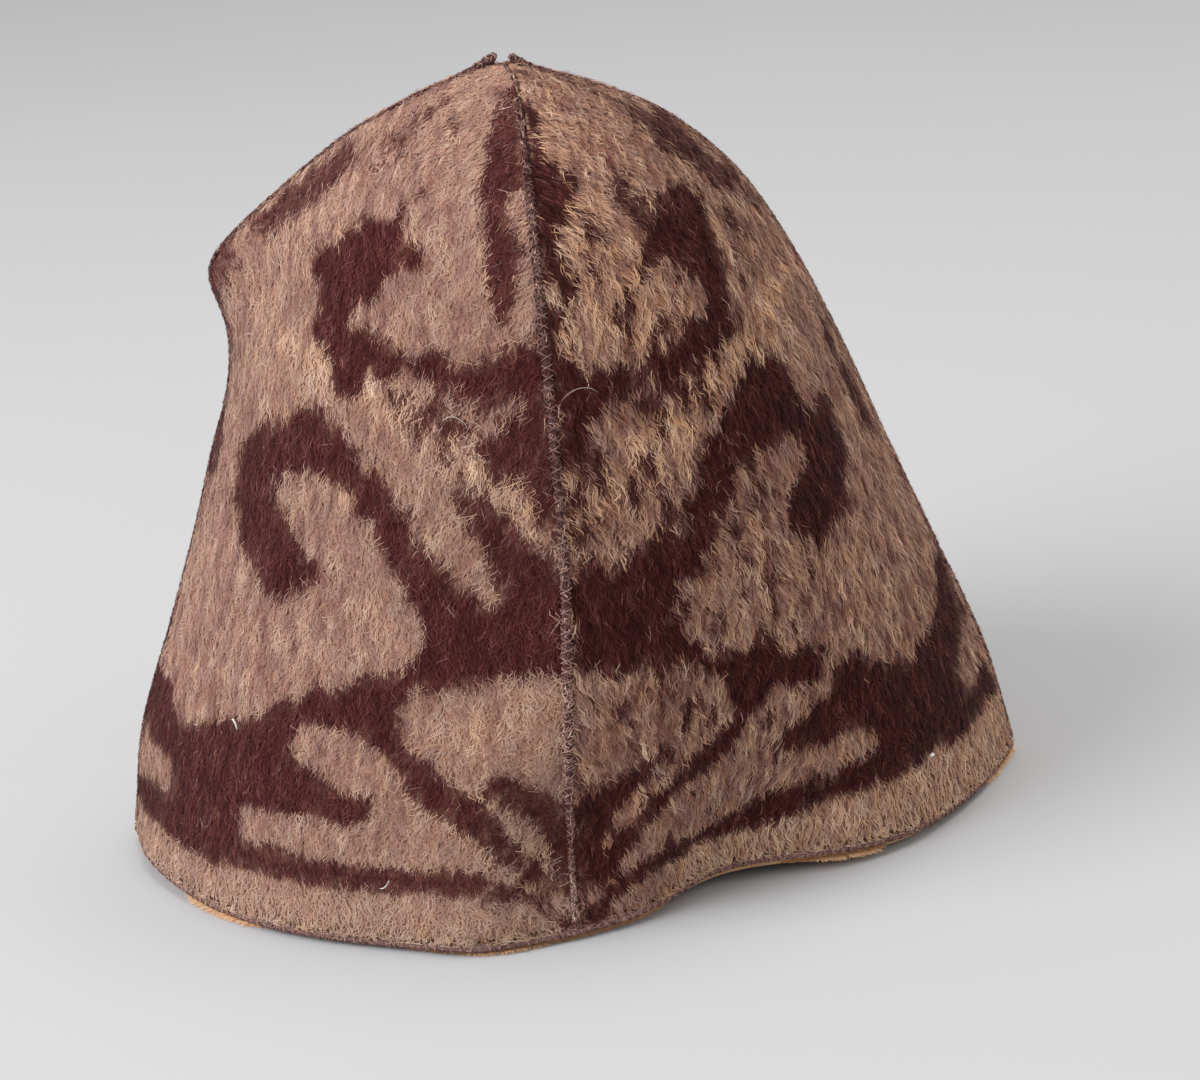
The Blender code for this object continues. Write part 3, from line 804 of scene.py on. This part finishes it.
def make_nap(cloth, layer, fibres, part, material):
    """Part of a gore's brushed pile: matted fibres that lie flat, or loose ones that curl over them."""
    gore = cloth.gore
    chance = np.random.default_rng(gore.seed * 10 + part)

    # Where the fibres are rooted, and the lock that each belongs to
    many = int(fibres * 2.5)
    x = chance.uniform(0.0, cloth.widths.max(), many)
    y = chance.uniform(NAP_TOP, cloth.length - NAP_FOOT, many)
    kept = np.flatnonzero(x < cloth.width(y))[:fibres]
    x, y = x[kept], y[kept]
    count = len(x)
    shift = 0.5 * noise(x, y, 7.0, gore.seed)
    lock_x = np.floor(x / LOCK_WIDE + shift).astype(int)
    brick = 0.37 * (lock_x % 5)
    lock_y = np.floor(y / LOCK_LONG + brick).astype(int)
    lock = np.random.default_rng(gore.seed).uniform(-1.0, 1.0, (6, 128, 128))[:, lock_y % 128, lock_x % 128]

    # How each leans and how long it is, and how its lock draws its tip in
    lean = cloth.lean(y) + np.radians(12.0 * noise(x, y, 22.0, gore.seed + 3) + 12.0 * lock[0])
    own_lean = lean + np.radians(gore.curl * layer.spread) * chance.normal(0.0, 1.0, count)
    long = layer.long + layer.longer * gore.lock
    long = long * (1.0 + 0.25 * lock[1]) * chance.uniform(0.6, 1.25, count) * (0.7 + 0.3 * crisp(y))
    long = np.minimum(long, np.maximum(cloth.length - NAP_END - 0.2 - y, 1.2))
    tip_x, tip_y = x + long * np.sin(own_lean), y + long * np.cos(own_lean)
    middle_x = (lock_x + 0.5 - shift + 0.3 * lock[2]) * LOCK_WIDE
    middle_y = (lock_y + 0.5 - brick + 0.3 * lock[3]) * LOCK_LONG
    pull = gore.lock * chance.uniform(0.5, 1.1, count)
    tip_x += pull * (middle_x + LOCK_LONG * np.sin(lean) - tip_x)
    tip_y += 0.6 * pull * np.minimum(middle_y + LOCK_LONG * np.cos(lean) - tip_y, 0.0)

    # Its path over the cloth, with its waves, its curl and its height
    share = layer.steps
    path_x = x[:, None] + (tip_x - x)[:, None] * share
    path_y = y[:, None] + (tip_y - y)[:, None] * share
    path_x[:, 1:] += 0.55 * np.sin(path_y[:, 1:] * 0.75 + 3.0 * lock[2][:, None])
    swing = gore.curl * chance.normal(0.0, layer.swing, (count, 2))
    path_x[:, 1] += swing[:, 0]
    path_x[:, -2] += swing[:, 1] - swing[:, 0]
    path_y = np.minimum(path_y, cloth.length - NAP_END)
    calm = np.interp(y, [HEM_BAND - 8.0, HEM_BAND], [1.0, 0.6])
    lift = gore.loft * calm * (layer.high + 0.25 * lock[4] + layer.uneven * chance.normal(0.0, 1.0, count))
    height = lift[:, None] * np.interp(share, [0.0, 0.4, 0.75, 1.0], [-0.2, 0.8, 1.0, 0.8])
    paths, normals = cloth.place(path_x, path_y, height)
    twist = chance.normal(0.0, 0.2, count)[:, None, None]
    widths = gore.width * chance.uniform(0.7, 1.3, count)[:, None]
    widths = widths * np.interp(share, [0.0, 0.5, 1.0], [1.0, 1.0, 0.0])

    # Its colour, from the chart where its outer half is seen
    seen_x, seen_y = path_x[:, -2], path_y[:, -2]
    stray = (1.0 - 0.7 * gore.lock) * crisp(y) * chance.normal(0.0, 1.0, (2, count))
    ink = cloth.dark(seen_x + stray[0], seen_y + stray[1])
    least = 0.02 + 0.05 * gore.lock
    inked = chance.uniform(0.0, 1.0, count) < least + (0.985 - least) * ink
    dark = np.where(inked, 0.7 + 0.3 * (ink > 0.3), 0.0)
    mottle = ((0.02 + 0.2 * gore.loft) * streak(x, y, 1.2, 4.0, gore.seed + 6)
              + 0.22 * streak(x, y, 2.6, 7.0, gore.seed + 7) + (0.04 + 0.2 * gore.lock ** 2) * lock[5])
    grain = np.where(inked, 0.15, 0.01 + 0.04 * gore.loft) * chance.normal(0.0, 1.0, count)
    # Painted highlight: where the paler, lit stretches lie, light fibres get a higher tone and a warmer hue
    glow = cloth.bright(seen_x, seen_y)
    depth = np.where(inked, 0.2 - 0.4 * gore.lock, 0.27 * glow - 0.3 * (ink > 0.5))
    tone = np.clip(0.46 + mottle * np.where(inked, 0.75, calm) + grain + depth, 0.0, 1.0)
    warm = gore.warm + 0.35 * noise(x, y, 3.0, gore.seed + 8)
    warm += 0.25 * glow * (y < HEM_BAND) + 0.15 * chance.normal(0.0, 1.0, count)
    values = {"dark": dark, "tone": tone, "warm": np.clip(warm, 0.0, 1.0)}
    return add_fibres(f"nap_{gore.name}_{part}", paths, widths, normals, values, material,
                      twist)


def add_tubes(name, paths, radii, sides, tones, material):
    """Many short round threads: paths has a row of points for each, radii one for each point."""
    count, length = paths.shape[:2]
    along = unit(np.gradient(paths, axis=1))
    guide = np.where(np.abs(along[..., 2:]) > 0.8, np.array([1.0, 0.0, 0.0]), np.array([0.0, 0.0, 1.0]))
    first = unit(np.cross(along, guide))
    second = np.cross(along, first)
    turn = np.linspace(0.0, 2.0 * math.pi, sides, endpoint=False)[:, None]
    ring = (np.cos(turn) * first[..., None, :] + np.sin(turn) * second[..., None, :]) * radii[..., None, None]
    points = paths[:, :, None, :] + ring
    number = np.arange(sides)
    beside = (number + 1) % sides
    quad = np.stack([number, beside, beside + sides, number + sides], axis=-1)
    quads = (np.arange(length - 1)[:, None, None] * sides + quad).reshape(-1)
    caps = np.concatenate([number[::-1], number + (length - 1) * sides])
    corners = np.arange(count)[:, None] * length * sides + np.concatenate([quads, caps])
    sizes = np.tile(np.concatenate([np.full((length - 1) * sides, 4), [sides, sides]]), count)
    mesh = array_mesh(name, points.reshape(-1, 3), corners.ravel(), sizes)
    set_values(mesh, "tone", np.repeat(tones, length * sides))
    return add_piece(name, mesh, material)


# A seam or an edge, along its length: its middle line, its outward normals, how dark its wool is, how
# thick it stands, in millimetres, and how pale its thread is
Ridge = namedtuple("Ridge", "name line normals ink girth pale")


def seam_line(angle, first_level):
    """The middle of a seam ridge, down from near the peak, with its outward normals and its levels."""
    levels = np.linspace(first_level, float(level_at_rise(GORE_RISE)), SEAM_POINTS)
    angles = np.full_like(levels, angle)
    normals = outward(angles, levels)
    return outer_surface(angles, levels) - SEAM_SINK * normals, normals, levels


def even_steps(ridge, step):
    """A ridge with its points at even steps, and the directions along it and across it there."""
    lengths = lengths_along(ridge.line)
    places = np.arange(step / 2.0, lengths[-1], step)
    line, normals = (np.stack([np.interp(places, lengths, vectors[:, axis]) for axis in range(3)], axis=-1)
                     for vectors in (ridge.line, ridge.normals))
    facts = [np.interp(places, lengths, values) for values in (ridge.ink, ridge.girth, ridge.pale)]
    even = Ridge(ridge.name, line, unit(normals), *facts)
    along = unit(np.gradient(line, axis=0))
    return even, along, np.cross(along, even.normals)


def ridge_core(ridge, tone, material):
    """The rolled edge under the thread."""
    even, _, _ = even_steps(ridge, 1.5)
    number = np.arange(len(even.line))
    swell = even.girth * (1.0 + 0.12 * noise(number, 0.0, 3.0, len(ridge.name)))
    swell[[0, -1]] *= 0.4
    return add_tubes("core_" + ridge.name, even.line[None], swell[None], 8, np.full(1, tone), material)


def ridge_thread(ridge, material, chance, stand, step, slant, radius):
    """Loops of thread over a ridge: each climbs one flank, crosses the top and goes down the other."""
    even, along, side = even_steps(ridge, step)
    count = len(even.line)
    turn = np.radians(np.linspace(-100.0, 100.0, 6))
    across = side[:, None, :] * np.sin(turn)[:, None] + even.normals[:, None, :] * np.cos(turn)[:, None]
    paths = []
    for way in (slant, -slant):
        shift = chance.normal(0.0, 0.2, count)[:, None, None] + way * (turn / turn[-1])[:, None]
        wide = even.girth - 0.2 + (stand + 0.2) * np.clip(4.0 * (even.girth - 0.55), 0.0, 1.0)
        wide *= 1.0 + 0.06 * chance.normal(0.0, 1.0, count)
        paths.append(even.line[:, None, :] + across * wide[:, None, None] + along[:, None, :] * shift)
    paths = np.concatenate(paths)
    tones = np.clip(np.tile(even.pale, 2) + chance.normal(0.0, 0.12, len(paths)), 0.0, 1.0)
    return add_tubes("thread_" + ridge.name, paths, np.full(paths.shape[:2], radius), 4, tones, material)


def ridge_fuzz(name, ridge, material, chance, loft, spread, each, lighter):
    """Wool fibres that are felted over a ridge; each is how many there are to a millimetre."""
    even, _, side = even_steps(ridge, 0.5)
    last = len(even.line) - 1
    count = int(len(even.line) * 0.5 * each)
    place = chance.uniform(0.0, last, count)
    at = place[:, None] + 2.0 * chance.normal(0.0, 1.6, count)[:, None] * FIBRE_STEPS
    at = np.clip(at, 0.0, last - 0.001)
    turn = chance.uniform(-spread, spread, count)[:, None]
    turn = np.radians(turn + chance.normal(0.0, 45.0, count)[:, None] * FIBRE_STEPS)[..., None]
    low = at.astype(int)
    part = (at - low)[..., None]
    centre = even.line[low] * (1.0 - part) + even.line[low + 1] * part
    out = side[low] * np.sin(turn) + even.normals[low] * np.cos(turn)
    height = even.girth[low] + chance.uniform(0.0, loft, count)[:, None] * np.array([-0.6, 0.6, 1.0, 0.9])
    widths = chance.uniform(0.14, 0.28, count)[:, None] * FIBRE_TAPER
    tone = even.pale[place.astype(int)] + lighter + chance.normal(0.0, 0.14, count)
    tone += 0.2 * noise(place / 2.0, 0.0, 3.0, 9)
    dark = chance.uniform(0.0, 1.0, count) < 0.25 + 0.7 * even.ink[place.astype(int)]
    values = {"dark": dark.astype(float), "tone": np.clip(tone, 0.0, 1.0),
              "warm": chance.uniform(0.0, 0.5, count)}
    return add_fibres(name, centre + out * height[..., None], widths, out, values, material)


def make_seam(ridge, materials, stand, seed):
    """A raised seam: its rolled edge, the thread that is looped over it both ways, and its fuzz."""
    chance = np.random.default_rng(seed)
    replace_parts(ridge_core(ridge, 0.15, materials["fuzz"]), "seam_" + ridge.name)
    ridge_thread(ridge, materials["thread"], chance, stand=stand, step=2.8, slant=1.2, radius=0.18)
    ridge_fuzz("fuzz_" + ridge.name, ridge, materials["fuzz"], chance, loft=0.35, spread=110.0, each=7.0,
               lighter=-0.1)
    ridge_fuzz("wool_" + ridge.name, ridge, materials["nap"], chance, loft=0.5, spread=110.0, each=7.0,
               lighter=0.1)


def join(front, back):
    """A row from the front hem over the peak to the back hem, from two that start at the peak."""
    return np.concatenate([front[::-1], back])


def make_seams(cloths, materials):
    front, front_normals, levels = seam_line(FRONT, 0.0)
    back, back_normals, _ = seam_line(BACK, 0.0)
    line = join(front, back)
    line[:, 2] -= PEAK_SINK * np.exp(-(join(levels, levels) / TIP_LENGTH) ** 2)
    girth = np.interp(levels, [0.0, 0.06, 0.25, 0.36, 0.7, 0.76, 0.84, 0.9, 1.0],
                      [0.9, 0.5, 0.5, 1.0, 1.15, 1.4, 1.4, 0.8, 0.7])
    pale = np.interp(levels, [0.09, 0.14, 0.3, 0.4, 0.65, 0.75, 1.0], [0.5, 0.15, 0.15, 0.35, 0.4, 0.7, 0.75])
    ink = join(cloths["front_left"].seam_ink(levels, 0.0), cloths["back_left"].seam_ink(levels, 0.0))
    ridge = Ridge("front_to_back", line, join(front_normals, back_normals), ink, join(girth, girth),
                  join(pale, pale))
    make_seam(ridge, materials, stand=0.42, seed=31)
    for name, angle, first_level, seed in (("left", LEFT, 0.004, 32), ("right", RIGHT, 0.03, 33)):
        line, normals, levels = seam_line(angle, first_level)
        tip = np.exp(-((levels - first_level) / TIP_LENGTH) ** 2)
        line[:, 2] += TIP_RISE * tip
        line[:, 0] -= TIP_REACH * math.copysign(1.0, angle) * tip
        girth = np.interp(levels - first_level, [0.0, 0.02, 0.05, 0.12, 0.9, 1.0],
                          [0.7, 1.5, 1.3, 0.7, 0.7, 0.6])
        ink = cloths["front_" + name].seam_ink(levels, 1.0)
        make_seam(Ridge(name, line, normals, ink, girth, 0.3 + 0.3 * tip), materials, stand=0.3, seed=seed)


def make_hem(materials):
    """The rolled hem, the thread that is looped over it all round, and its fuzz."""
    chance = np.random.default_rng(41)
    angles = np.linspace(-180.0, 180.0, 481)
    line = inside_hem(angles, HEM_ROLL_RISE, WALL / 2.0)
    out = unit(outward(angles, np.full_like(angles, 0.99)) + np.array([0.0, 0.0, -0.1]))
    plain = np.zeros_like(angles)
    ridge = Ridge("hem", line, out, plain + 0.15, plain + 1.25, plain + 0.85)
    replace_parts(ridge_core(ridge, 0.6, materials["fuzz"]), "hem_overlock")
    ridge_thread(ridge, materials["thread"], chance, stand=0.13, step=2.6, slant=0.9, radius=0.2)
    ridge_fuzz("fuzz_hem", ridge, materials["fuzz"], chance, loft=0.35, spread=70.0, each=5.0, lighter=-0.1)
    ridge_fuzz("wool_hem", ridge, materials["nap"], chance, loft=0.5, spread=70.0, each=3.0, lighter=-0.35)


def make_facing(material):
    """The flannel strip inside the hem, whose lower edge the hat stands on."""
    outer, inner = WALL + FACING_GAP, WALL + FACING_GAP + FACING_WALL
    rounds = np.array([0.0, 0.42, 0.5, 0.92, 1.0])

    def shape(across, down):
        angle = 360.0 * across - 180.0
        low = np.maximum(-FACING_DROP, FLOOR_GAP - hem_lift(angle))
        fall = np.interp(down, rounds, [0.0, 1.0, 1.0, 0.0, 0.0])
        depth = np.interp(down, rounds, [outer, outer, inner, inner, outer])
        return inside_hem(angle, FACING_HEIGHT + (low - FACING_HEIGHT) * fall, depth[:, None])

    mesh, _, _ = grid_mesh("facing_cloth", 300, 12, shape)
    weld(mesh)
    piece = add_piece("facing_cloth", mesh, material)
    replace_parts(piece, "hem_facing")
    return piece


def make_facing_fuzz(material):
    """The facing's raised face where it peeps out under the hem."""
    chance = np.random.default_rng(51)
    angle = chance.uniform(-180.0, 180.0, 3 * FACING_FIBRES)
    peeps = np.clip(1.6 * noise(angle, 0.0, 9.0, 52), 0.0, 1.0)
    kept = np.flatnonzero(peeps > 0.1)[:FACING_FIBRES]
    angle, peeps, count = angle[kept], peeps[kept], len(kept)
    bend = angle[:, None] + chance.normal(0.0, 0.5, count)[:, None] * FIBRE_STEPS
    reach = chance.uniform(0.5, 1.0, count) * (0.6 + 4.2 * peeps)
    reach = reach[:, None] * np.array([0.0, 0.4, 0.75, 1.0])
    lift = hem_lift(bend)
    drop = FACING_DROP * np.minimum(lift, 1.0)
    rise = np.maximum(chance.uniform(0.2, 0.9, count)[:, None] - drop, FLOOR_GAP + 0.05 - lift)
    paths = inside_hem(bend, rise, (WALL + FACING_GAP - reach)[..., None])
    up = unit(np.broadcast_to(np.array([0.0, -0.3, 1.0]), paths.shape))
    widths = chance.uniform(0.2, 0.35, count)[:, None] * FIBRE_TAPER
    values = {"tone": chance.uniform(0.0, 1.0, count)}
    return add_fibres("facing_fuzz", paths, widths, up, values, material)


def make_strays(cloths, material):
    """Single hairs and pale flecks that lie on the nap."""
    chance = np.random.default_rng(61)
    strays = list(STRAYS)
    for number in range(HAIRS):
        gore = GORES[number % len(GORES)].name
        y = chance.uniform(30.0, 262.0)
        x = chance.uniform(2.0, cloths[gore].width(y) - 8.0)
        start = chance.uniform(0.0, 360.0)
        bow = chance.uniform(1.2, 4.0)
        strays.append(Stray(gore, x, y, bow, start, start + chance.uniform(60.0, 220.0), HAIR_THICK,
                            chance.uniform(0.0, 0.5)))
    paths, radii = [], []
    share = np.linspace(0.0, 1.0, 12)
    for stray in strays:
        turn = np.radians(stray.start + (stray.end - stray.start) * share)
        height = 1.1 + 0.7 * np.sin(math.pi * share) + stray.thick
        reach = stray.radius * (1.0 + 0.1 * np.sin(2.4 * share + stray.x))
        x = stray.x + reach * np.cos(turn)
        y = stray.y + reach * np.sin(turn)
        paths.append(cloths[stray.gore].place(x, y, height)[0])
        radii.append(stray.thick * np.minimum(1.0, 0.25 + 4.0 * np.minimum(share, 1.0 - share)))
    tones = np.array([stray.tone for stray in strays])
    return add_tubes("stray_hairs", np.array(paths), np.array(radii), 4, tones, material)


def make_floor():
    form = bmesh.new()
    bmesh.ops.create_circle(form, cap_ends=True, radius=6.0, segments=96)
    mesh = bpy.data.meshes.new("floor")
    form.to_mesh(mesh)
    form.free()
    material, tree, shader = new_material("floor_paper", 0.9)
    shade = add_mix(tree, add_noise(tree, 400.0), colour(184, 185, 187), colour(188, 189, 191))
    tree.links.new(shade, shader.inputs["Base Color"])
    mesh.materials.append(material)
    floor = add_object("floor", mesh)


def make_camera():
    rise, roll = math.radians(CAMERA_RISE), math.radians(CAMERA_ROLL)
    back = Vector((0.0, -math.cos(rise), math.sin(rise)))
    level = Vector((1.0, 0.0, 0.0))
    steep = back.cross(level)
    right = level * math.cos(roll) - steep * math.sin(roll)
    up = level * math.sin(roll) + steep * math.cos(roll)
    data = bpy.data.cameras.new("photo_camera")
    data.sensor_fit = "HORIZONTAL"
    data.sensor_width = SENSOR_WIDTH
    data.lens = FOCAL_PIXELS / PHOTO_WIDTH * SENSOR_WIDTH
    data.clip_start = 0.01
    camera = add_object("photo_camera", data)
    place = (Vector(CAMERA_AIM) + back * CAMERA_DISTANCE) * MM
    camera.matrix_world = Matrix.Translation(place) @ Matrix((right, up, back)).transposed().to_4x4()
    bpy.context.scene.camera = camera


def make_light(name, place, size, power, tint):
    """A round lamp that is turned to the hat; its place and its size are in metres."""
    data = bpy.data.lights.new(name, "AREA")
    data.shape = "DISK"
    data.size = size
    data.energy = power
    data.color = tint
    light = add_object(name, data)
    light.location = place
    light.rotation_euler = (Vector(LIGHT_AIM) - Vector(place)).to_track_quat("-Z", "Y").to_euler()


def make_lights():
    world = bpy.data.worlds.new("studio")
    world.use_nodes = True
    sky = world.node_tree.nodes["Background"]
    sky.inputs["Color"].default_value = (1.0, 0.98, 0.96, 1.0)
    sky.inputs["Strength"].default_value = 0.55
    bpy.context.scene.world = world
    make_light("window", (-1.9, -0.8, 1.6), size=2.0, power=64.0, tint=(0.97, 0.98, 1.0))
    make_light("ceiling", (0.3, 0.2, 2.3), size=1.6, power=24.0, tint=(1.0, 0.99, 0.96))
    make_light("room", (2.0, -0.5, 0.9), size=1.6, power=7.0, tint=(1.0, 0.97, 0.94))
    bpy.context.scene.view_settings.view_transform = "Standard"


def main():
    make_camera()
    group = wool_colours()
    ground, nap = ground_material(group), nap_material(group)
    materials = {"nap": nap, "thread": thread_material("overlock_thread", (58, 33, 34), (198, 156, 146)),
                 "fuzz": thread_material("seam_fuzz", (60, 31, 34), (176, 140, 134))}
    cloths = {gore.name: Cloth(gore) for gore in GORES}
    for gore in GORES:
        cloth = cloths[gore.name]
        piece = make_cloth(cloth, ground)
        layers = (make_nap(cloth, MATTED, gore.flat, 1, nap), make_nap(cloth, LOOSE, gore.loose, 2, nap))
    make_seams(cloths, materials)
    make_hem(materials)
    facing = make_facing(facing_material())
    # Painted light: the fuzz is a paler peach than the flannel, to brighten it where it lies in the hem's
    # shadow
    fuzz = make_facing_fuzz(thread_material("facing_fuzz", (250, 196, 142), (255, 228, 188), (238, 176, 124)))
    make_strays(cloths, thread_material("stray_wool", (176, 140, 118), (252, 248, 240)))
    make_floor()
    make_lights()


main()
